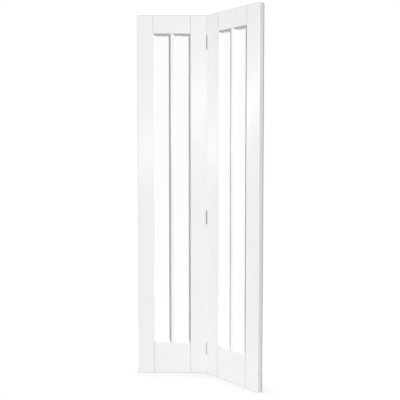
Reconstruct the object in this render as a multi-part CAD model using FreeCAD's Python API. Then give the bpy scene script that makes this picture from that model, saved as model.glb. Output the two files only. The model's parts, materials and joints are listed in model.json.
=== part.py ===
"""Internal bifold door: two white primed, glazed leaves joined by three butt hinges, standing part folded.

Each leaf is a stile and rail frame with timber lipped edges, one glazing bar, two tall panes and a mitred
glazing bead round both faces of each pane. Millimetres, +Z up. The origin is the mouth of the bottom pivot
bore of the left leaf: that leaf's front face looks along -Y, and the right leaf folds forward from it.
"""

import FreeCAD
import Part
import math
import os

Vector = FreeCAD.Vector

# Overall sizes of the closed door, and how far the right leaf has swung forward from closed
DOOR_WIDTH = 762.0
DOOR_HEIGHT = 1981.0
LEAF_THICKNESS = 35.0
FOLD_ANGLE_DEG = 47.0

# Stiles, rails, lippings and glazing bar
STILE_WIDTH = 87.0
LIPPING_THICKNESS = 8.0
TOP_RAIL_DEPTH = 98.0
BOTTOM_RAIL_DEPTH = 171.0
GLAZING_BAR_WIDTH = 12.0
OUTER_ARRIS_RADIUS = 2.0
MEETING_ARRIS_RADIUS = 1.0
JOINT_LINE_WIDTH = 1.2
JOINT_LINE_DEPTH = 2.5

# Glass and glazing beads
GLASS_THICKNESS = 4.0
GLASS_EDGE_GAP = 3.0
BEAD_WIDTH = 11.0
BEAD_SET_BACK = 0.5
BEAD_FALL = 3.2
BEAD_NOSE_RADIUS = 1.2

# Butt hinges
HINGE_HEIGHT = 76.0
TOP_HINGE_MARGIN = 108.0
MIDDLE_HINGE_HEIGHT = 878.0
BOTTOM_HINGE_MARGIN = 104.0
KNUCKLE_COUNT = 5
KNUCKLE_GAP = 0.2
KNUCKLE_CLEARANCE = 0.5
KNUCKLE_SEAM = 0.25
PIN_STAND_OFF = 1.0
FLAP_THICKNESS = 1.8
FLAP_REACH = 25.0
FLAP_RECESS_CLEARANCE = 0.2
PIN_RADIUS = 1.6
PIN_CLEARANCE = 0.05
SCREW_HOLE_RADIUS = 2.1
SCREW_END_MARGIN = 13.0
SCREW_ROW_NEAR = 11.0
SCREW_ROW_FAR = 18.0

# Bores for the track's pivots and guide
PIVOT_INSET = 35.0
PIVOT_BORE_RADIUS = 5.0
PIVOT_BORE_DEPTH = 35.0

# Sizes that follow from those above: each knuckle is its flap's edge rolled round the pin
KNUCKLE_BORE_RADIUS = PIN_RADIUS + PIN_CLEARANCE
KNUCKLE_RADIUS = KNUCKLE_BORE_RADIUS + FLAP_THICKNESS
LEAF_GAP = 2 * KNUCKLE_BORE_RADIUS
LEAF_WIDTH = (DOOR_WIDTH - LEAF_GAP) / 2
PLATE_START = KNUCKLE_RADIUS + KNUCKLE_CLEARANCE
SIGHT_BOTTOM = BOTTOM_RAIL_DEPTH
SIGHT_TOP = DOOR_HEIGHT - TOP_RAIL_DEPTH
GLASS_FACE_DEPTH = (LEAF_THICKNESS - GLASS_THICKNESS) / 2
PIVOT_PLACE = LEAF_WIDTH - PIVOT_INSET

HINGE_BASES = {
    "top": DOOR_HEIGHT - TOP_HINGE_MARGIN - HINGE_HEIGHT,
    "middle": MIDDLE_HINGE_HEIGHT - HINGE_HEIGHT / 2,
    "bottom": BOTTOM_HINGE_MARGIN,
}

# How far apart two places may be and still count as one
TOLERANCE = 1e-6

# Where the hinge pins' axis stands in the door's frame, whose origin is the left leaf's pivot axis
PIN_AXIS = Vector(LEAF_GAP / 2 + PIVOT_PLACE, -(PIN_STAND_OFF + LEAF_THICKNESS / 2), 0)


# Leaf coordinates: u runs across the leaf from its meeting edge, v from its front face to its back, z up
def leaf_point(u, v, z):
    """A point of the right leaf, before it is folded, measured from the hinge pins' axis."""
    return Vector(LEAF_GAP / 2 + u, PIN_STAND_OFF + v, z)


def leaf_block(u0, u1, v0, v1, z0, z1):
    """A square-edged block between two corners in leaf coordinates."""
    return Part.makeBox(u1 - u0, v1 - v0, z1 - z0, leaf_point(u0, v0, z0))


def as_one_solid(shape):
    """The single solid that a cut or common leaves, without seams between faces in one plane."""
    return shape.removeSplitter().Solids[0]


def into_place(shape, leaf):
    """Moves a shape from the unfolded right leaf to the leaf it belongs to, in the door's frame."""
    if leaf == "left":
        moved = shape.mirror(Vector(0, 0, 0), Vector(1, 0, 0))
    else:
        moved = shape.copy()
        moved.rotate(Vector(0, 0, 0), Vector(0, 0, 1), -FOLD_ANGLE_DEG)
    moved.translate(PIN_AXIS)
    return moved


# Frame of a leaf
def bore(z0, z1):
    """The hole that a pivot or guide pin's bush is driven into."""
    return Part.makeCylinder(PIVOT_BORE_RADIUS, z1 - z0, leaf_point(PIVOT_PLACE, LEAF_THICKNESS / 2, z0))


def outer_stile(leaf):
    """The stile core at the leaf's free edge, bored at the top and, on the hung leaf, at the bottom."""
    u0, u1 = LEAF_WIDTH - STILE_WIDTH, LEAF_WIDTH - LIPPING_THICKNESS
    core = leaf_block(u0, u1, 0, LEAF_THICKNESS, 0, DOOR_HEIGHT)
    core = core.cut(bore(DOOR_HEIGHT - PIVOT_BORE_DEPTH, DOOR_HEIGHT))
    if leaf == "left":
        core = core.cut(bore(0, PIVOT_BORE_DEPTH))
    return as_one_solid(core)


def meeting_stile():
    """The stile core at the hinged edge."""
    return leaf_block(LIPPING_THICKNESS, STILE_WIDTH, 0, LEAF_THICKNESS, 0, DOOR_HEIGHT)


def outer_lipping():
    """The timber strip on the free edge, its two long arrises rounded."""
    strip = leaf_block(LEAF_WIDTH - LIPPING_THICKNESS, LEAF_WIDTH, 0, LEAF_THICKNESS, 0, DOOR_HEIGHT)
    return strip.makeFillet(OUTER_ARRIS_RADIUS, upright_edges(strip, LEAF_WIDTH))


def meeting_lipping():
    """The timber strip on the hinged edge, rounded and then recessed for the three hinge flaps."""
    strip = leaf_block(0, LIPPING_THICKNESS, 0, LEAF_THICKNESS, 0, DOOR_HEIGHT)
    strip = strip.makeFillet(MEETING_ARRIS_RADIUS, upright_edges(strip, 0))
    recess_end = FLAP_REACH - PIN_STAND_OFF + FLAP_RECESS_CLEARANCE
    for base in HINGE_BASES.values():
        strip = strip.cut(
            leaf_block(
                0,
                FLAP_THICKNESS,
                0,
                recess_end,
                base - FLAP_RECESS_CLEARANCE,
                base + HINGE_HEIGHT + FLAP_RECESS_CLEARANCE,
            )
        )
    return as_one_solid(strip)


def upright_edges(block, u):
    """The two full height edges of a block that lie at the given distance from the meeting edge."""
    x = leaf_point(u, 0, 0).x
    on_line = [e for e in block.Edges if all(abs(v.X - x) < TOLERANCE for v in e.Vertexes)]
    return [e for e in on_line if e.BoundBox.ZLength > DOOR_HEIGHT / 2]


def rail(z0, z1):
    """A rail between the stiles, stepped at both ends so that a fine line shows at each joint."""
    u0, u1 = STILE_WIDTH, LEAF_WIDTH - STILE_WIDTH
    body = leaf_block(u0, u1, JOINT_LINE_DEPTH, LEAF_THICKNESS - JOINT_LINE_DEPTH, z0, z1)
    faces = leaf_block(u0 + JOINT_LINE_WIDTH, u1 - JOINT_LINE_WIDTH, 0, LEAF_THICKNESS, z0, z1)
    return as_one_solid(body.fuse(faces))


def glazing_bar():
    """The upright bar between the two panes, with the same fine joint line where it meets the rails."""
    u0 = (LEAF_WIDTH - GLAZING_BAR_WIDTH) / 2
    u1 = u0 + GLAZING_BAR_WIDTH
    body = leaf_block(u0, u1, JOINT_LINE_DEPTH, LEAF_THICKNESS - JOINT_LINE_DEPTH, SIGHT_BOTTOM, SIGHT_TOP)
    faces = leaf_block(
        u0, u1, 0, LEAF_THICKNESS, SIGHT_BOTTOM + JOINT_LINE_WIDTH, SIGHT_TOP - JOINT_LINE_WIDTH
    )
    return as_one_solid(body.fuse(faces))


# Glass and beads
def panes():
    """The two sight openings of a leaf, as the distances of their sides from the meeting edge."""
    bar_start = (LEAF_WIDTH - GLAZING_BAR_WIDTH) / 2
    bar_end = bar_start + GLAZING_BAR_WIDTH
    return {"inner": (STILE_WIDTH, bar_start), "outer": (bar_end, LEAF_WIDTH - STILE_WIDTH)}


def glass(u0, u1):
    """One clear pane, held short of the frame all round and gripped between the beads."""
    return leaf_block(
        u0 + GLASS_EDGE_GAP,
        u1 - GLASS_EDGE_GAP,
        GLASS_FACE_DEPTH,
        GLASS_FACE_DEPTH + GLASS_THICKNESS,
        SIGHT_BOTTOM + GLASS_EDGE_GAP,
        SIGHT_TOP - GLASS_EDGE_GAP,
    )


def bead_section(point):
    """The face of a bead's cross-section: a shallow fall from the frame to a rounded nose above the glass.

    point(w, d) places a corner that is w from the side of the opening and d below the leaf's face.
    """
    slope = math.atan2(BEAD_FALL, BEAD_WIDTH)
    tangent = BEAD_NOSE_RADIUS * math.tan((math.pi / 2 - slope) / 2)
    nose_w, nose_d = BEAD_WIDTH, BEAD_SET_BACK + BEAD_FALL
    arc_start = (nose_w - tangent * math.cos(slope), nose_d - tangent * math.sin(slope))
    arc_end = (nose_w, nose_d + tangent)
    centre = (
        arc_start[0] - BEAD_NOSE_RADIUS * math.sin(slope),
        arc_start[1] + BEAD_NOSE_RADIUS * math.cos(slope),
    )
    half_way = (slope - math.pi / 2) / 2
    arc_middle = (
        centre[0] + BEAD_NOSE_RADIUS * math.cos(half_way),
        centre[1] + BEAD_NOSE_RADIUS * math.sin(half_way),
    )
    heel = point(0, BEAD_SET_BACK)
    foot = point(0, GLASS_FACE_DEPTH)
    toe = point(BEAD_WIDTH, GLASS_FACE_DEPTH)
    edges = [
        Part.LineSegment(heel, point(*arc_start)).toShape(),
        Part.Arc(point(*arc_start), point(*arc_middle), point(*arc_end)).toShape(),
        Part.LineSegment(point(*arc_end), toe).toShape(),
        Part.LineSegment(toe, foot).toShape(),
        Part.LineSegment(foot, heel).toShape(),
    ]
    return Part.Face(Part.Wire(edges))


def mitre_prism(corners):
    """A prism through the leaf's thickness over four (u, z) corners, to cut a bead's ends at 45 degrees."""
    points = [leaf_point(u, 0, z) for u, z in corners]
    outline = Part.makePolygon(points + points[:1])
    return Part.Face(outline).extrude(Vector(0, LEAF_THICKNESS, 0))


def depth_from(face, d):
    """How far a point d below the front or back face lies from the front face."""
    return d if face == "front" else LEAF_THICKNESS - d


def upright_beads(u0, u1, face):
    """The two beads up the sides of an opening."""
    low, high = SIGHT_BOTTOM, SIGHT_TOP
    beads = []
    for side, inward in ((u0, 1), (u1, -1)):
        section = bead_section(lambda w, d: leaf_point(side + inward * w, depth_from(face, d), low))
        length = section.extrude(Vector(0, 0, high - low))
        tip = side + inward * BEAD_WIDTH
        mitres = mitre_prism([(side, low), (side, high), (tip, high - BEAD_WIDTH), (tip, low + BEAD_WIDTH)])
        beads.append(as_one_solid(length.common(mitres)))
    return beads


def level_beads(u0, u1, face):
    """The beads along the bottom and the top of an opening."""
    beads = []
    for sill, inward in ((SIGHT_BOTTOM, 1), (SIGHT_TOP, -1)):
        section = bead_section(lambda w, d: leaf_point(u0, depth_from(face, d), sill + inward * w))
        length = section.extrude(Vector(u1 - u0, 0, 0))
        tip = sill + inward * BEAD_WIDTH
        mitres = mitre_prism([(u0, sill), (u1, sill), (u1 - BEAD_WIDTH, tip), (u0 + BEAD_WIDTH, tip)])
        beads.append(as_one_solid(length.common(mitres)))
    return beads


# Hinges, built about the pin's axis on the right leaf's side before it is folded
def knuckle_spans(base):
    """The bottom and top of each knuckle of a hinge, from the lowest up."""
    length = (HINGE_HEIGHT - KNUCKLE_GAP * (KNUCKLE_COUNT - 1)) / KNUCKLE_COUNT
    starts = [base + i * (length + KNUCKLE_GAP) for i in range(KNUCKLE_COUNT)]
    return [(start, start + length) for start in starts]


def screw_hole(y, z):
    """A countersunk hole through a flap, widest on the face that looks at the other flap."""
    mouth = Vector(KNUCKLE_BORE_RADIUS, y, z)
    wide = SCREW_HOLE_RADIUS + FLAP_THICKNESS
    return Part.makeCone(wide, SCREW_HOLE_RADIUS, FLAP_THICKNESS, mouth, Vector(1, 0, 0))


def rolled_knuckle(low, high):
    """The flap's edge rolled round the pin, its end stopping just short of the flap's inner face."""
    height = high - low
    roll = Part.makeCylinder(KNUCKLE_RADIUS, height, Vector(0, 0, low))
    seam = Part.makeBox(
        KNUCKLE_RADIUS, KNUCKLE_RADIUS, height, Vector(KNUCKLE_BORE_RADIUS - KNUCKLE_SEAM, 0, low)
    )
    neck = Part.makeBox(FLAP_THICKNESS, PLATE_START, height, Vector(KNUCKLE_BORE_RADIUS, 0, low))
    return roll.cut(seam).fuse(neck)


def hinge_flap(base, first_knuckle):
    """One flap of a butt hinge with every other knuckle rolled on its edge, and three countersunk holes."""
    corner = Vector(KNUCKLE_BORE_RADIUS, PLATE_START, base)
    plate = Part.makeBox(FLAP_THICKNESS, FLAP_REACH - PLATE_START, HINGE_HEIGHT, corner)
    flap = plate.multiFuse([rolled_knuckle(low, high) for low, high in knuckle_spans(base)[first_knuckle::2]])
    cuts = [
        Part.makeCylinder(KNUCKLE_BORE_RADIUS, HINGE_HEIGHT, Vector(0, 0, base)),
        screw_hole(SCREW_ROW_FAR, base + SCREW_END_MARGIN),
        screw_hole(SCREW_ROW_NEAR, base + HINGE_HEIGHT / 2),
        screw_hole(SCREW_ROW_FAR, base + HINGE_HEIGHT - SCREW_END_MARGIN),
    ]
    return as_one_solid(flap.cut(cuts))


def hinge_pin(base):
    """The fixed pin through all the knuckles, its ends flush with the outermost ones."""
    return Part.makeCylinder(PIN_RADIUS, HINGE_HEIGHT, Vector(0, 0, base))


# Assembly
def leaf_pieces(leaf):
    """Every piece of one leaf, by name, in its place."""
    pieces = {
        "outer_stile": [outer_stile(leaf)],
        "outer_lipping": [outer_lipping()],
        "meeting_stile": [meeting_stile()],
        "meeting_lipping": [meeting_lipping()],
        "top_rail": [rail(SIGHT_TOP, DOOR_HEIGHT)],
        "bottom_rail": [rail(0, SIGHT_BOTTOM)],
        "glazing_bar": [glazing_bar()],
    }
    for pane, (u0, u1) in panes().items():
        pieces[f"{pane}_glass"] = [glass(u0, u1)]
        for face in ("front", "back"):
            pieces[f"{pane}_{face}_upright_beads"] = upright_beads(u0, u1, face)
            pieces[f"{pane}_{face}_level_beads"] = level_beads(u0, u1, face)
    return {
        f"{leaf}_{name}": [into_place(solid, leaf) for solid in solids] for name, solids in pieces.items()
    }


def hinge_pieces():
    """The two flaps and the pin of each hinge, by name, in their places."""
    pieces = {}
    for place, base in HINGE_BASES.items():
        pieces[f"{place}_hinge_left_flap"] = [into_place(hinge_flap(base, 1), "left")]
        pieces[f"{place}_hinge_right_flap"] = [into_place(hinge_flap(base, 0), "right")]
        pieces[f"{place}_hinge_pin"] = [into_place(hinge_pin(base), "right")]
    return pieces


def main():
    os.makedirs("parts", exist_ok=True)
    pieces = {**leaf_pieces("left"), **leaf_pieces("right"), **hinge_pieces()}
    for name, solids in pieces.items():
        node = solids[0] if len(solids) == 1 else Part.makeCompound(solids)
        node.exportStep(f"parts/{name}.step")


main()
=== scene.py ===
"""Looks of a part folded, glazed bifold door: primer, timber edges, glass, plating, screws and a studio."""

import json
import math
from random import Random

import bpy
from bpy.props import FloatProperty, FloatVectorProperty, PointerProperty
from mathutils import Matrix, Quaternion, Vector

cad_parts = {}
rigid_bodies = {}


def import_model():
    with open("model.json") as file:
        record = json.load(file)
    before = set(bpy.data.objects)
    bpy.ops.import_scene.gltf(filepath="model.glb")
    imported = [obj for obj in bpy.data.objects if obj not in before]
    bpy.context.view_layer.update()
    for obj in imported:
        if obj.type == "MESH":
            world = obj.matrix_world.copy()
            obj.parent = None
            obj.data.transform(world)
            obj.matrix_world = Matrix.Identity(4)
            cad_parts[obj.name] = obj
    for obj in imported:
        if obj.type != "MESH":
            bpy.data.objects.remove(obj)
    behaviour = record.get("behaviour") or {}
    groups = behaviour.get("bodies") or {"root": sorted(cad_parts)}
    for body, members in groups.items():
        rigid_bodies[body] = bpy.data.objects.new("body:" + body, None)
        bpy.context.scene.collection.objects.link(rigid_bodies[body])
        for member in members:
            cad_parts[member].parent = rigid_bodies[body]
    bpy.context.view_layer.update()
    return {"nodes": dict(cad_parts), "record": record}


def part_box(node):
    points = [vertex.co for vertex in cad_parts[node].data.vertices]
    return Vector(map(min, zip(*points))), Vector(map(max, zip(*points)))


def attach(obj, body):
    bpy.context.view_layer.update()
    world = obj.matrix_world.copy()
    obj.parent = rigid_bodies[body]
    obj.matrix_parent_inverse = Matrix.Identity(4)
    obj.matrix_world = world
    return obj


bl_info = {
    "name": "Glazed bifold door finishes",
    "version": (1, 0, 0),
    "blender": (4, 5, 0),
    "location": "View3D > Sidebar > Bifold door",
    "description": "Paints, glazes and screws together a part folded bifold door, and lights it",
    "category": "Object",
}

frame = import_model()

NODES = frame["nodes"]
MOUNTS = {mount["name"]: mount for mount in frame["record"]["mounts"]}
UP = Vector((0, 0, 1))


def middle(node):
    """The centre of a node's box."""
    low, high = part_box(node)
    return (low + high) / 2


# Where the leaves stand: the hinge axis, how far the right leaf has turned about it, and the side of it that
# each leaf is on
PIN = Vector((*middle("top_hinge_pin").xy, 0))
PIVOT = Vector(MOUNTS["bottom_pivot_bore"]["pos_m"]) - PIN
GUIDE = Vector(MOUNTS["guide_bore"]["pos_m"]) - PIN
FOLD = math.atan2(PIVOT.y, -PIVOT.x) - math.atan2(GUIDE.y, GUIDE.x)
LEAVES = {"left": 0.0, "right": FOLD}
SIDES = {"left": -1, "right": 1}

# The left leaf isn't turned, so its stile and lipping give a leaf's sizes, and its front and meeting edge as
# measured from the hinge axis
LEAF_LOW, LEAF_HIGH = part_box("left_meeting_stile")
FRONT = LEAF_LOW.y - PIN.y
THICKNESS = LEAF_HIGH.y - LEAF_LOW.y
HEIGHT = LEAF_HIGH.z
MEETING_EDGE = PIN.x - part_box("left_meeting_lipping")[1].x
TOP_HINGE_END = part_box("top_hinge_pin")[1].z

HINGE_PLACES = ("top", "middle", "bottom")
STILES = ("outer_stile", "meeting_stile", "glazing_bar")
RAILS = ("top_rail", "bottom_rail")
LIPPINGS = ("outer_lipping", "meeting_lipping")


def leaf_turn(leaf):
    """The turn about the hinge axis that takes an unfolded leaf to where it stands."""
    return Matrix.Rotation(-LEAVES[leaf], 4, "Z")


def leaf_front(leaf):
    """The way a leaf's front face looks."""
    return leaf_turn(leaf) @ Vector((0, -1, 0))


def leaf_right(leaf):
    """The way to a viewer's right along a leaf's front face."""
    return leaf_turn(leaf) @ Vector((1, 0, 0))


# Sizes and colours that a user may change
class PrimerSettings(bpy.types.PropertyGroup):
    colour: FloatVectorProperty(
        name="Primer",
        description="White of the primed faces",
        subtype="COLOR",
        default=(0.86, 0.86, 0.862),
    )
    roughness: FloatProperty(
        name="Roughness",
        description="Roughness of the primer",
        default=0.45,
        min=0,
        max=1,
    )
    gloss: FloatProperty(
        name="Gloss",
        description="Strength of the primer's reflections",
        default=0.3,
        min=0,
        max=1,
    )
    stipple: FloatProperty(
        name="Stipple",
        description="Height of the roller's texture",
        subtype="DISTANCE",
        default=0.00007,
    )
    grain: FloatProperty(
        name="Grain",
        description="Height of the grain that shows through",
        subtype="DISTANCE",
        default=0.00012,
    )
    # Painted shade: how much of the primer's white a joint line keeps
    joint: FloatProperty(
        name="Joint",
        description="How much of its white a joint line keeps",
        default=0.15,
        min=0,
    )


class TimberSettings(bpy.types.PropertyGroup):
    pale: FloatVectorProperty(
        name="Pale timber",
        description="Lighter wood of the edges",
        subtype="COLOR",
        default=(0.77, 0.735, 0.715),
    )
    dark: FloatVectorProperty(
        name="Dark timber",
        description="Darker streaks of the edges",
        subtype="COLOR",
        default=(0.68, 0.645, 0.625),
    )
    raw: FloatVectorProperty(
        name="Raw timber",
        description="Bare wood of the ends",
        subtype="COLOR",
        default=(0.48, 0.39, 0.29),
    )
    # Painted shade: the colour of the shade painted on the lippings' back strip and on the arrises at the
    # fold
    shaded: FloatVectorProperty(
        name="Worn arris",
        description="Darker wood where an edge is worn",
        subtype="COLOR",
        default=(0.4, 0.385, 0.375),
    )
    roughness: FloatProperty(
        name="Roughness",
        description="Roughness of the edges",
        default=0.6,
        min=0,
        max=1,
    )


class GlassSettings(bpy.types.PropertyGroup):
    tint: FloatVectorProperty(
        name="Tint",
        description="Colour of the light let through",
        subtype="COLOR",
        default=(0.965, 0.975, 0.972),
    )
    index: FloatProperty(
        name="Index",
        description="Index of refraction",
        default=1.5,
        min=1,
        max=2,
    )


class HingeSettings(bpy.types.PropertyGroup):
    colour: FloatVectorProperty(
        name="Plating",
        description="Colour of the hinges",
        subtype="COLOR",
        default=(0.37, 0.37, 0.325),
    )
    roughness: FloatProperty(
        name="Roughness",
        description="Roughness of the plating",
        default=0.34,
        min=0,
        max=1,
    )
    screw_colour: FloatVectorProperty(
        name="Screws",
        description="Colour of the screws",
        subtype="COLOR",
        default=(0.46, 0.45, 0.39),
    )
    screw_head: FloatProperty(
        name="Screw head",
        description="Radius of a screw's head",
        subtype="DISTANCE",
        default=0.0036,
    )
    screw_shank: FloatProperty(
        name="Screw shank",
        description="Radius of a screw's shank",
        subtype="DISTANCE",
        default=0.0019,
    )


class StudioSettings(bpy.types.PropertyGroup):
    camera_place: FloatVectorProperty(
        name="Camera",
        description="Place of the camera",
        subtype="TRANSLATION",
        default=(0.3091, -3.2336, 1.2197),
    )
    camera_dip: FloatProperty(
        name="Dip",
        description="How far the camera looks down",
        subtype="ANGLE",
        default=math.radians(3),
    )
    lens: FloatProperty(
        name="Lens",
        description="Focal length in millimetres",
        default=52.46,
        min=1,
    )
    shift: FloatProperty(
        name="Shift",
        description="Vertical shift of the lens",
        default=-0.035,
    )
    fill: FloatProperty(
        name="Fill",
        description="Level of the light from all round",
        default=0.4,
        min=0,
    )
    face_level: FloatProperty(
        name="Face level",
        description="Light a lamp adds to a face",
        default=0.65,
        min=0,
    )
    graze: FloatProperty(
        name="Graze",
        description="Height of the beads' lamps above a leaf's face",
        subtype="ANGLE",
        default=math.radians(24),
    )
    sheen: FloatProperty(
        name="Sheen",
        description="Power of the soft lamp near each leaf's front",
        default=0.083,
        min=0,
    )
    floor_colour: FloatVectorProperty(
        name="Floor",
        description="Colour of the floor",
        subtype="COLOR",
        default=(0.5, 0.5, 0.5),
    )
    floor_glow: FloatProperty(
        name="Floor glow",
        description="Light the camera sees in the floor",
        default=0.805,
    )
    contact: FloatProperty(
        name="Contact",
        description="Light left in the shadow under the leaves",
        default=0.42,
    )


# Shader maths
class Value:
    """A number that a shader node gives. Arithmetic on it adds Math nodes."""

    def __init__(self, graph, socket):
        self.graph = graph
        self.socket = socket

    def math(self, operation, *terms):
        return self.graph.value("ShaderNodeMath", {"operation": operation}, terms)

    def __add__(self, other):
        return self.math("ADD", self, other)

    def __radd__(self, other):
        return self.math("ADD", other, self)

    def __sub__(self, other):
        return self.math("SUBTRACT", self, other)

    def __rsub__(self, other):
        return self.math("SUBTRACT", other, self)

    def __mul__(self, other):
        return self.math("MULTIPLY", self, other)

    def __rmul__(self, other):
        return self.math("MULTIPLY", other, self)

    def __abs__(self):
        return self.math("ABSOLUTE", self)

    def over(self, edge):
        """1 where this is over the edge, or else 0."""
        return self.math("GREATER_THAN", self, edge)

    def either(self, other):
        """The larger of the two."""
        return self.math("MAXIMUM", self, other)

    def fade(self, low, high):
        """0 at low and 1 at high, smoothly."""
        settings = {"interpolation_type": "SMOOTHSTEP"}
        return self.graph.value("ShaderNodeMapRange", settings, {0: self, 1: low, 2: high})

    def swing(self, width):
        """A noise of 0 to 1 made to swing about 0, over the given width."""
        return width * (self - 0.5)


class Graph:
    """The nodes of one material or world."""

    def __init__(self, owner):
        owner.use_nodes = True
        self.tree = owner.node_tree
        self.tree.nodes.clear()

    def node(self, kind, settings=None, inputs=()):
        """Adds a node: its settings first, then the values or links of its sockets."""
        made = self.tree.nodes.new(kind)
        for name, setting in (settings or {}).items():
            setattr(made, name, setting)
        for key, value in inputs.items() if isinstance(inputs, dict) else enumerate(inputs):
            if isinstance(value, Value):
                value = value.socket
            if isinstance(value, bpy.types.NodeSocket):
                self.tree.links.new(value, made.inputs[key])
            else:
                made.inputs[key].default_value = value
        return made

    def value(self, kind, settings=None, inputs=(), output=0):
        """Adds a node and gives one of its outputs as a number."""
        return Value(self, self.node(kind, settings, inputs).outputs[output])

    def blend(self, factor, first, second):
        """A colour between two colours."""
        settings = {"data_type": "RGBA"}
        return self.node("ShaderNodeMix", settings, {0: factor, 6: first, 7: second}).outputs[2]

    def place(self, leaf):
        """Object coordinates turned to an unfolded leaf, measured from the hinge axis."""
        spot = self.node("ShaderNodeTexCoord").outputs["Object"]
        turn = leaf_turn(leaf).inverted()
        return self.node(
            "ShaderNodeMapping",
            inputs={"Vector": spot, "Location": -(turn @ PIN), "Rotation": turn.to_euler()},
        ).outputs[0]

    def measures(self, place):
        """How far right of the hinge axis a place is, how far behind the leaf's middle, and how high."""
        parts = self.node("ShaderNodeSeparateXYZ", inputs=[place]).outputs
        across, back, up = (Value(self, part) for part in parts)
        return across, back - (FRONT + THICKNESS / 2), up

    def noise(self, place, sizes, detail=2.0, roughness=0.5):
        """Noise from 0 to 1 whose marks have the given size, or one size along each axis."""
        sizes = sizes if isinstance(sizes, tuple) else (sizes,) * 3
        scale = [1 / size for size in sizes]
        inputs = {
            "Vector": self.node("ShaderNodeMapping", inputs={"Vector": place, "Scale": scale}).outputs[0],
            "Scale": 1.0,
            "Detail": detail,
            "Roughness": roughness,
        }
        return self.value("ShaderNodeTexNoise", inputs=inputs)

    def bump(self, height, distance, under=None):
        """A bump of the given height in metres, on top of another one."""
        inputs = {"Strength": 1.0, "Distance": distance, "Height": height}
        if under is not None:
            inputs["Normal"] = under
        return self.node("ShaderNodeBump", inputs=inputs).outputs[0]

    def seen(self):
        """1 where the camera sees a surface, in a reflection and through glass too, or else 0."""
        path = self.node("ShaderNodeLightPath").outputs
        camera, glossy, through = (
            Value(self, path[f"Is {ray} Ray"]) for ray in ("Camera", "Glossy", "Transmission")
        )
        return (camera + glossy).either(through)

    def surface(self, shader):
        """Sends a node's shader to the output."""
        self.node("ShaderNodeOutputMaterial", inputs={"Surface": shader.outputs[0]})


def paint(node, material):
    """Gives a carried over node its finish."""
    for slot in NODES[node].material_slots:
        slot.link = "OBJECT"
        slot.material = material


def colour4(colour, tone=1.0):
    """A colour with full alpha, made darker by a tone under 1 or lighter by one over it."""
    return (*(part * tone for part in colour), 1.0)


# Primer: the bare line at a leaf's ends, the joints' painted shade, and the sizes and strengths of its
# patterns
END_DEPTH = 0.0012
END_WANDER = 0.0008
END_WAVE = 0.02
END_ROUGHNESS = 0.3
JOINT_SHADE_DEPTH = 0.0003
STIPPLE_SIZE = 0.0014
GRAIN_ACROSS = 0.006
GRAIN_ALONG = 0.45
CLOUD_SIZE = 0.35
CLOUD_TONE = 0.985
CLOUD_ROUGHNESS = 0.08

# Timber: its streaks and pores, and how dark they are
STREAK_ACROSS = 0.0016
STREAK_ALONG = 0.22
STREAK_ROUGHNESS = 0.6
STREAK_LIMITS = (0.3, 0.7)
RAW_STREAK_TONE = 0.8
PORE_ACROSS = 0.0005
PORE_ALONG = 0.012
PORE_LIMITS = (0.6, 0.7)
PORE_TONE = 0.8
PORE_STRENGTH = 0.5

# Lippings: how far the primer comes round from the front and the back, and the part of that where it is full
WRAPS = {"outer_lipping": 0.002, "meeting_lipping": 0.0004}
BACK_WRAP = 0.0006
WRAP_FULL = 0.6

# Painted shade on the timber: a strip along the back of the outer edges, full up to one distance from the
# back face and gone at the other, and the front arris at the fold, darker and wider above the top hinge
BACK_SHADE_FULL = 0.0062
BACK_SHADE_REACH = 0.0072
ARRIS_SHADE_TONES = {"outer_lipping": 0.8, "meeting_lipping": 1.0}
FOLD_SHADE_WIDTH = 0.0012
FOLD_SHADE_FULL = 0.7
TOP_FOLD_SHADE_WIDTH = 0.0019
TOP_FOLD_SHADE_TONE = 0.4

# Plating: painted shade on the top hinge and painted light on the bottom one, its tarnish and its brush marks
HINGE_LIGHT_TONES = {"top": 0.82, "middle": 0.98, "bottom": 1.6}
TARNISH_SIZE = 0.009
TARNISH_LIMITS = (0.3, 0.62)
TARNISH_TONE = 0.72
TARNISH_ROUGHNESS = 0.16
BRUSH_DEPTH = 0.00001
BRUSHED_UPRIGHT = (0.00025, 0.00025, 0.012)
BRUSHED_EVENLY = (0.0006, 0.0006, 0.0006)

# Hinge screws: their rows behind the hinge axis and above a flap's lower end, and their shape
SCREW_ROWS = ((0.018, 0.013), (0.011, 0.038), (0.018, 0.063))
SCREW_SEED = 7
SCREW_SIDES = 28
SCREW_RIM = 0.0002
SCREW_LENGTH = 0.003
SCREW_POINT = 0.001
SCREW_EDGE = 0.0004
SCREW_RISE = 0.0001
SHANK_TAPER = 0.86
POINT_TAPER = 0.2
RECESS_WIDTH = 0.0009
RECESS_LENGTH = 0.0044
RECESS_DEPTH = 0.0013
RECESS_TAPER = (0.6, 0.25, 1)
SMOOTH_UP_TO = math.radians(25)

# The cosine between a face's normal and a direction above which the face counts as pointing that way
FACING = 0.9


def grain_sizes(way, across, along):
    """Sizes of a grain pattern that runs up a leaf or across it."""
    return (across, across, along) if way == "upright" else (along, across, across)


def bare_ends(graph, place, up):
    """1 where the primer stops short of a leaf's top and bottom ends, along a slightly uneven line."""
    wander = graph.noise(place, END_WAVE).swing(END_WANDER)
    return (up + wander).over(HEIGHT - END_DEPTH).either((END_DEPTH + wander - up).over(0))


def bare_wood(graph, streaks, timber):
    """The raw timber's colour, with its streaks."""
    return graph.blend(streaks, colour4(timber.raw, RAW_STREAK_TONE), colour4(timber.raw))


def coat(graph, colour, rough, gloss, relief):
    """Ends a leaf's material in its shader."""
    inputs = {"Base Color": colour, "Roughness": rough, "Specular IOR Level": gloss, "Normal": relief}
    graph.surface(graph.node("ShaderNodeBsdfPrincipled", inputs=inputs))


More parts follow.
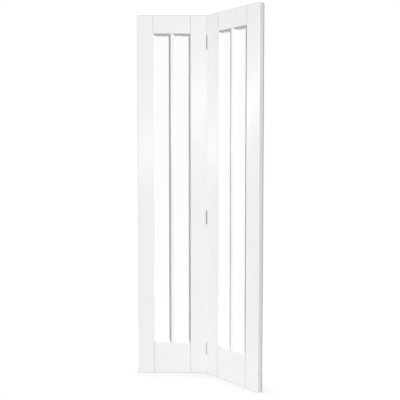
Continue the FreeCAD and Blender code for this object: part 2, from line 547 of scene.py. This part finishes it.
def primed(leaf, way, jointed, primer, timber):
    """White primer over timber whose grain runs upright or level, bare at the leaf's top and bottom ends.

    On a jointed piece the fine lines at its joints are painted nearly black, as painted shade in the grooves.
    """
    material = bpy.data.materials.new(f"primed_{leaf}_{way}_{'frame' if jointed else 'beads'}")
    graph = Graph(material)
    place = graph.place(leaf)
    _, back, up = graph.measures(place)
    ends = bare_ends(graph, place, up)
    clouds = graph.noise(place, CLOUD_SIZE, detail=3)
    white = graph.blend(clouds, colour4(primer.colour, CLOUD_TONE), colour4(primer.colour))
    if jointed:
        # Painted shade: the joint grooves take a near-black copy of the primer
        groove_shade = (THICKNESS / 2 - abs(back)).fade(0.0, JOINT_SHADE_DEPTH)
        white = graph.blend(groove_shade, white, colour4(primer.colour, primer.joint))
    streaks = graph.noise(place, grain_sizes(way, STREAK_ACROSS, STREAK_ALONG), detail=3)
    grain = graph.noise(place, grain_sizes(way, GRAIN_ACROSS, GRAIN_ALONG), detail=4)
    stipple = graph.noise(place, STIPPLE_SIZE, detail=3)
    relief = graph.bump(stipple, primer.stipple, graph.bump(grain, primer.grain))
    rough = primer.roughness + clouds.swing(CLOUD_ROUGHNESS) + END_ROUGHNESS * ends
    coat(graph, graph.blend(ends, white, bare_wood(graph, streaks, timber)), rough, primer.gloss, relief)
    return material


class DOOR_OT_primer(bpy.types.Operator):
    """Primes the stiles, rails, glazing bars and beads"""

    bl_idname = "door.primer"
    bl_label = "Prime the frames and beads"

    def execute(self, context):
        primer, timber = context.scene.door_primer, context.scene.door_timber
        for leaf in LEAVES:
            beads = [name for name in NODES if name.startswith(leaf) and name.endswith("_beads")]
            for way, frames in (("upright", STILES), ("level", RAILS)):
                material = primed(leaf, way, True, primer, timber)
                for piece in frames:
                    paint(f"{leaf}_{piece}", material)
                material = primed(leaf, way, False, primer, timber)
                for name in beads:
                    if way in name:
                        paint(name, material)
        return {"FINISHED"}


def edge_timber(leaf, piece, primer, timber):
    """A lipping: primed on the front and back, thinly coated pale timber on its edge and bare at its ends."""
    material = bpy.data.materials.new(f"{leaf}_{piece}")
    graph = Graph(material)
    place = graph.place(leaf)
    across, back, up = graph.measures(place)
    forward = 0 - back
    half = THICKNESS / 2
    ends = bare_ends(graph, place, up)
    wrap = WRAPS[piece]
    face = forward.fade(half - wrap, half - WRAP_FULL * wrap).either(
        back.fade(half - BACK_WRAP, half - WRAP_FULL * BACK_WRAP)
    )

    streak_sizes = grain_sizes("upright", STREAK_ACROSS, STREAK_ALONG)
    streaks = graph.noise(place, streak_sizes, detail=4, roughness=STREAK_ROUGHNESS)
    pores = graph.noise(place, grain_sizes("upright", PORE_ACROSS, PORE_ALONG)).fade(*PORE_LIMITS)
    wood = graph.blend(streaks.fade(*STREAK_LIMITS), colour4(timber.dark), colour4(timber.pale))
    wood = graph.blend(pores * PORE_STRENGTH, wood, colour4(timber.dark, PORE_TONE))

    tone = ARRIS_SHADE_TONES[piece]
    shade = colour4(timber.shaded, tone)
    # Painted shade: a dark strip along the back of the outer edge, standing in for the shade on its far arris
    if piece == "outer_lipping":
        painted_shade = back.fade(half - BACK_SHADE_REACH, half - BACK_SHADE_FULL) - face
    else:
        # Painted shade: a dark line on the front arris at the fold, as the fold's shadow, darker and wider
        # above the top hinge
        corner = half - MEETING_EDGE
        above = up.over(TOP_HINGE_END)
        shaded = FOLD_SHADE_WIDTH + (TOP_FOLD_SHADE_WIDTH - FOLD_SHADE_WIDTH) * above
        painted_shade = (forward - abs(across)).fade(corner - shaded, corner - FOLD_SHADE_FULL * shaded)
        shade = graph.blend(above, shade, colour4(timber.shaded, tone * TOP_FOLD_SHADE_TONE))
    coated = graph.blend(painted_shade, graph.blend(face, wood, colour4(primer.colour)), shade)

    relief = graph.bump(streaks, primer.grain, graph.bump(pores, -primer.grain))
    rough = timber.roughness + (primer.roughness - timber.roughness) * face
    coat(graph, graph.blend(ends, coated, bare_wood(graph, streaks, timber)), rough, primer.gloss, relief)
    return material


class DOOR_OT_lippings(bpy.types.Operator):
    """Finishes the timber strips on the leaves' long edges"""

    bl_idname = "door.lippings"
    bl_label = "Finish the lippings"

    def execute(self, context):
        for leaf in LEAVES:
            for piece in LIPPINGS:
                material = edge_timber(leaf, piece, context.scene.door_primer, context.scene.door_timber)
                paint(f"{leaf}_{piece}", material)
        return {"FINISHED"}


class DOOR_OT_glass(bpy.types.Operator):
    """Makes the panes clear glass that lets the light through to the floor"""

    bl_idname = "door.glass"
    bl_label = "Glaze the panes"

    def execute(self, context):
        settings = context.scene.door_glass
        material = bpy.data.materials.new("clear_glass")
        graph = Graph(material)
        tint = colour4(settings.tint)
        solid = graph.node(
            "ShaderNodeBsdfPrincipled",
            inputs={
                "Base Color": tint,
                "Roughness": 0.0,
                "IOR": settings.index,
                "Transmission Weight": 1.0,
            },
        )
        open_way = graph.node("ShaderNodeBsdfTransparent", inputs=[tint])
        shadow = graph.node("ShaderNodeLightPath").outputs["Is Shadow Ray"]
        inputs = [shadow, solid.outputs[0], open_way.outputs[0]]
        graph.surface(graph.node("ShaderNodeMixShader", inputs=inputs))
        for name in NODES:
            if name.endswith("_glass"):
                paint(name, material)
        return {"FINISHED"}


def plated(name, colour, tone, brush_sizes, settings):
    """Plated steel, brushed along the longest of three sizes and a little tarnished."""
    material = bpy.data.materials.new(name)
    graph = Graph(material)
    place = graph.place("left")
    brushed = graph.noise(place, brush_sizes, detail=3)
    tarnish = graph.noise(place, TARNISH_SIZE, detail=4)
    bright, dull = colour4(colour, tone), colour4(colour, tone * TARNISH_TONE)
    shader = graph.node(
        "ShaderNodeBsdfPrincipled",
        inputs={
            "Base Color": graph.blend(tarnish.fade(*TARNISH_LIMITS), dull, bright),
            "Metallic": 1.0,
            "Roughness": settings.roughness + tarnish.swing(TARNISH_ROUGHNESS),
            "Normal": graph.bump(brushed, BRUSH_DEPTH),
        },
    )
    graph.surface(shader)
    return material


class DOOR_OT_hinges(bpy.types.Operator):
    """Plates the hinge flaps and pins"""

    bl_idname = "door.hinges"
    bl_label = "Plate the hinges"

    def execute(self, context):
        settings = context.scene.door_hinges
        for place in HINGE_PLACES:
            # Painted light and shade: the same plating is made darker or lighter by the hinge's place
            tone = HINGE_LIGHT_TONES[place]
            material = plated(f"{place}_hinge_plating", settings.colour, tone, BRUSHED_UPRIGHT, settings)
            for name in NODES:
                if name.startswith(f"{place}_hinge_"):
                    paint(name, material)
        return {"FINISHED"}


def pick_faces(piece, way):
    """Selects the faces of a piece in edit mode that point a given way."""
    bpy.ops.mesh.select_mode(type="FACE")
    bpy.ops.mesh.select_all(action="DESELECT")
    bpy.ops.object.mode_set(mode="OBJECT")
    for face in piece.data.polygons:
        face.select = face.normal.dot(way) > FACING
    bpy.ops.object.mode_set(mode="EDIT")


def stretch_down(distance, narrowing):
    """Extrudes the picked faces downwards and narrows what they end in."""
    bpy.ops.mesh.extrude_region_move(TRANSFORM_OT_translate={"value": (0, 0, -distance)})
    bpy.ops.transform.resize(value=(narrowing, narrowing, 1), center_override=(0, 0, 0))


class DOOR_OT_screws(bpy.types.Operator):
    """Models a countersunk screw with a cross recess and fits one in each hole of the hinge flaps"""

    bl_idname = "door.screws"
    bl_label = "Fit the hinge screws"

    def execute(self, context):
        settings = context.scene.door_hinges
        screw = self.model(settings)
        material = plated("screw_plating", settings.screw_colour, 1.0, BRUSHED_EVENLY, settings)
        screw.data.materials.append(material)
        random = Random(SCREW_SEED)
        for place in HINGE_PLACES:
            for leaf, side in SIDES.items():
                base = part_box(f"{place}_hinge_{leaf}_flap")[0].z
                for number, (back, height) in enumerate(SCREW_ROWS, 1):
                    spot = Matrix.Translation((side * MEETING_EDGE, back, base + height))
                    outwards = Matrix.Rotation(-side * math.pi / 2, 4, "Y")
                    driven = Matrix.Rotation(random.uniform(0, math.pi / 2), 4, "Z")
                    fitted = screw.copy()
                    fitted.data = screw.data.copy()
                    hole = Matrix.Translation(PIN) @ leaf_turn(leaf) @ spot
                    fitted.data.transform(hole @ outwards @ driven)
                    fitted.name = f"{leaf}_screw_{place}_{number}"
                    context.scene.collection.objects.link(fitted)
                    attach(fitted, "root")
        bpy.data.objects.remove(screw)
        return {"FINISHED"}

    def model(self, settings):
        """One screw at the origin, its head level with z = 0 and its axis upright."""
        head, shank = settings.screw_head, settings.screw_shank
        bpy.ops.object.select_all(action="DESELECT")
        bpy.ops.mesh.primitive_cylinder_add(
            vertices=SCREW_SIDES, radius=head, depth=SCREW_RIM, location=(0, 0, -SCREW_RIM / 2)
        )
        screw = bpy.context.object
        bpy.ops.object.transform_apply()
        bpy.ops.object.mode_set(mode="EDIT")
        pick_faces(screw, -UP)
        stretch_down(head - shank, shank / head)
        stretch_down(SCREW_LENGTH, SHANK_TAPER)
        stretch_down(SCREW_POINT, POINT_TAPER)
        pick_faces(screw, UP)
        bpy.ops.mesh.inset(thickness=SCREW_EDGE, depth=SCREW_RISE)
        bpy.ops.object.mode_set(mode="OBJECT")

        cross = self.recess()
        cut = screw.modifiers.new("recess", "BOOLEAN")
        cut.object = cross
        cut.use_self = True
        bpy.ops.object.select_all(action="DESELECT")
        screw.select_set(True)
        bpy.context.view_layer.objects.active = screw
        bpy.ops.object.modifier_apply(modifier=cut.name)
        bpy.ops.object.shade_smooth_by_angle(angle=SMOOTH_UP_TO)
        bpy.data.objects.remove(cross)
        return screw

    def recess(self):
        """Two crossed wedges, to cut a recess in a screw's head."""
        bpy.ops.object.select_all(action="DESELECT")
        bpy.ops.mesh.primitive_cube_add(size=1, scale=(RECESS_WIDTH, RECESS_LENGTH, 2 * RECESS_DEPTH))
        cross = bpy.context.object
        bpy.ops.object.transform_apply()
        bpy.ops.object.mode_set(mode="EDIT")
        pick_faces(cross, -UP)
        bpy.ops.transform.resize(value=RECESS_TAPER, center_override=(0, 0, 0))
        bpy.ops.mesh.select_all(action="SELECT")
        bpy.ops.mesh.duplicate()
        bpy.ops.transform.rotate(value=math.pi / 2, orient_axis="Z", center_override=(0, 0, 0))
        bpy.ops.object.mode_set(mode="OBJECT")
        return cross


# Studio: the floor and the reach of its contact shadow, in metres, and the camera's sensor, in millimetres
FLOOR_SIZE = 40
CONTACT_REACH = 0.25
SENSOR_WIDTH = 36

# Where the lamps of the faces stand: above straight ahead, and to the right or towards the fold
RISE = 1 / 2
ASIDE = 1 / 3
FOLD_ASIDE = 1 / 2

# The share of the settings' face level that each kind of piece gets from its lamps, on one leaf or on both
NEAR_FOLD_SHARE = {"left": 0.96, "right": 0.94}
OUTER_SHARE = {"left": 1.01, "right": 1.022}
BAR_SHARE = {"left": 1.04, "right": 1.15}
UPRIGHT_SHARE = {"left": 0.64, "right": 0.54}
FAR_SHARE = 0.5
LEVEL_SHARE = 0.69

# How low the lamps of the upright beads stand: a part of the settings' graze for those on the near face, and
# an angle for those seen through the glass
UPRIGHT_GRAZE = {"left": 0.96, "right": 0.5}
FAR_GRAZE = math.radians(28)

# The long soft lamp near each leaf's front, its place as on an unfolded leaf
SHEEN_LENGTH = 0.9
SHEEN_WIDTH = 0.1
SHEEN_DISTANCE = 0.16
SHEEN_SHARE = {"left": 1.0, "right": 1.45}
SHEEN_ACROSS = {"left": -0.2, "right": 0.27}
SHEEN_HEIGHT = {"left": 1.38, "right": 1.46}
SHEEN_SLOPE = math.radians(45)


def lamp(name, kind, strength, toward, receivers):
    """A lamp that stands in the given direction, lights only the receivers and casts no shadow."""
    data = bpy.data.lights.new(name, kind)
    data.energy = strength
    data.use_shadow = False
    made = bpy.data.objects.new(name, data)
    made.rotation_mode = "QUATERNION"
    made.rotation_quaternion = toward.to_track_quat("Z", "Y")
    bpy.context.scene.collection.objects.link(made)
    group = bpy.data.collections.new(f"{name}_receivers")
    for piece in receivers:
        group.objects.link(piece)
    made.light_linking.receiver_collection = group
    return made


def leaf_pieces(leaf):
    """Everything shown that belongs to a leaf, by name, its half of each hinge included."""
    names = [f"{place}_hinge_{leaf}_flap" for place in HINGE_PLACES]
    if leaf == "right":
        names += [f"{place}_hinge_pin" for place in HINGE_PLACES]
    pieces = {name: piece for name, piece in NODES.items() if name.startswith(leaf + "_") or name in names}
    screws = {piece.name: piece for piece in bpy.data.objects if piece.name.startswith(f"{leaf}_screw_")}
    return pieces | screws


def take(pieces, ending):
    """Takes the pieces whose names have an ending out of a leaf's pieces."""
    return [pieces.pop(name) for name in list(pieces) if name.endswith(ending)]


class DOOR_OT_studio(bpy.types.Operator):
    """Adds the floor, the light and the camera"""

    bl_idname = "door.studio"
    bl_label = "Set the studio"

    def execute(self, context):
        settings = context.scene.door_studio
        self.floor(settings)
        self.world(settings)
        self.lamps(settings)
        self.camera(settings)
        context.scene.view_settings.view_transform = "Standard"
        return {"FINISHED"}

    def floor(self, settings):
        """A pale floor whose glow, as the camera sees it, falls off under the leaves like a soft shadow."""
        bpy.ops.object.select_all(action="DESELECT")
        bpy.ops.mesh.primitive_plane_add(size=FLOOR_SIZE)
        floor = bpy.context.object
        floor.name = "floor"
        material = bpy.data.materials.new("floor")
        graph = Graph(material)
        strength = graph.seen() * settings.floor_glow
        openness = graph.value("ShaderNodeAmbientOcclusion", inputs={"Distance": CONTACT_REACH}, output="AO")
        tone = graph.blend(openness, colour4([settings.contact] * 3), colour4([1.0] * 3))
        glow = graph.node("ShaderNodeEmission", inputs={"Color": tone, "Strength": strength})
        matt = graph.node("ShaderNodeBsdfDiffuse", inputs=[colour4(settings.floor_colour)])
        graph.surface(graph.node("ShaderNodeAddShader", inputs=[glow.outputs[0], matt.outputs[0]]))
        floor.data.materials.append(material)

    def world(self, settings):
        """White where the camera sees it, and a weaker light from all round on everything."""
        world = bpy.data.worlds.new("studio")
        bpy.context.scene.world = world
        graph = Graph(world)
        level = settings.fill + (1.0 - settings.fill) * graph.seen()
        sky = graph.node("ShaderNodeBackground", inputs={"Color": (1, 1, 1, 1), "Strength": level})
        graph.node("ShaderNodeOutputWorld", inputs={"Surface": sky.outputs[0]})

    def lamps(self, settings):
        """Lights each leaf's two faces from ahead and above, and its beads at a low angle."""
        for leaf in LEAVES:
            pieces = leaf_pieces(leaf)
            outer, meeting = (take(pieces, lipping) for lipping in LIPPINGS)
            near_fold = take(pieces, "meeting_stile")
            far_stile = take(pieces, "outer_stile")
            bar = take(pieces, "glazing_bar")
            upright = {side: take(pieces, f"{side}_upright_beads") for side in ("front", "back")}
            level = take(pieces, "level_beads")
            glossy = [piece for name, piece in pieces.items() if not name.endswith("_glass")]
            self.sheen(settings, leaf, [*glossy, *near_fold, *far_stile, *bar, *outer, *meeting])

            inwards = leaf_right(leaf) * -SIDES[leaf]
            for side, far, way in (("front", "back", 1), ("back", "front", -1)):
                face, right = leaf_front(leaf) * way, leaf_right(leaf) * way
                raised = face + UP * RISE
                aside = raised + right * ASIDE
                from_fold = raised if side == "front" else raised + inwards * FOLD_ASIDE
                across = right + face * math.tan(settings.graze * UPRIGHT_GRAZE[leaf])
                through = right + face * math.tan(FAR_GRAZE)
                down = UP + face * math.tan(settings.graze)
                for name, share, toward, receivers in (
                    ("frame", 1, aside, pieces.values()),
                    ("near_fold", NEAR_FOLD_SHARE[leaf], aside, near_fold),
                    ("far_stile", OUTER_SHARE[leaf], aside, far_stile),
                    ("outer_edge", 1, raised + right, outer),
                    ("meeting_edge", 1, from_fold, meeting),
                    ("bar", BAR_SHARE[leaf], aside, bar),
                    ("upright_beads", UPRIGHT_SHARE[leaf], across, upright[side]),
                    ("far_beads", FAR_SHARE, through, upright[far]),
                    ("level_beads", LEVEL_SHARE, down, level),
                ):
                    slant = toward.length / toward.dot(face)
                    strength = settings.face_level * math.pi * share * slant
                    lamp(f"{leaf}_{side}_{name}", "SUN", strength, toward, receivers)

    def sheen(self, settings, leaf, pieces):
        """A long soft lamp that lies aslant near a leaf's front face."""
        front, along = leaf_front(leaf), leaf_right(leaf)
        made = lamp(f"{leaf}_sheen", "AREA", settings.sheen * SHEEN_SHARE[leaf], front, pieces)
        made.data.shape = "ELLIPSE"
        made.data.size, made.data.size_y = SHEEN_LENGTH, SHEEN_WIDTH
        made.visible_camera = False
        flat = Matrix((along, front.cross(along), front)).transposed()
        made.rotation_quaternion = Quaternion(front, SHEEN_SLOPE) @ flat.to_quaternion()
        spot = Vector((SHEEN_ACROSS[leaf], FRONT - SHEEN_DISTANCE, SHEEN_HEIGHT[leaf]))
        made.location = PIN + leaf_turn(leaf) @ spot

    def camera(self, settings):
        """A camera in front that looks a little down."""
        data = bpy.data.cameras.new("camera")
        data.lens = settings.lens
        data.sensor_width = SENSOR_WIDTH
        data.shift_y = settings.shift
        made = bpy.data.objects.new("camera", data)
        made.location = settings.camera_place
        made.rotation_euler = (math.pi / 2 - settings.camera_dip, 0, 0)
        bpy.context.scene.collection.objects.link(made)
        bpy.context.scene.camera = made


class DOOR_PT_panel(bpy.types.Panel):
    """Lists the steps in the sidebar"""

    bl_idname = "DOOR_PT_panel"
    bl_label = "Bifold door"
    bl_space_type = "VIEW_3D"
    bl_region_type = "UI"
    bl_category = "Bifold door"

    def draw(self, context):
        for step in STEPS:
            self.layout.operator(step.bl_idname)


SETTINGS = {
    "door_primer": PrimerSettings,
    "door_timber": TimberSettings,
    "door_glass": GlassSettings,
    "door_hinges": HingeSettings,
    "door_studio": StudioSettings,
}
STEPS = (DOOR_OT_primer, DOOR_OT_lippings, DOOR_OT_glass, DOOR_OT_hinges, DOOR_OT_screws, DOOR_OT_studio)


def register():
    for name, group in SETTINGS.items():
        bpy.utils.register_class(group)
        setattr(bpy.types.Scene, name, PointerProperty(type=group))
    for item in (*STEPS, DOOR_PT_panel):
        bpy.utils.register_class(item)


def unregister():
    for item in (DOOR_PT_panel, *reversed(STEPS)):
        bpy.utils.unregister_class(item)
    for name, group in reversed(SETTINGS.items()):
        delattr(bpy.types.Scene, name)
        bpy.utils.unregister_class(group)


def main():
    register()
    bpy.ops.door.primer()
    bpy.ops.door.lippings()
    bpy.ops.door.glass()
    bpy.ops.door.hinges()
    bpy.ops.door.screws()
    bpy.ops.door.studio()


if __name__ == "__main__":
    main()
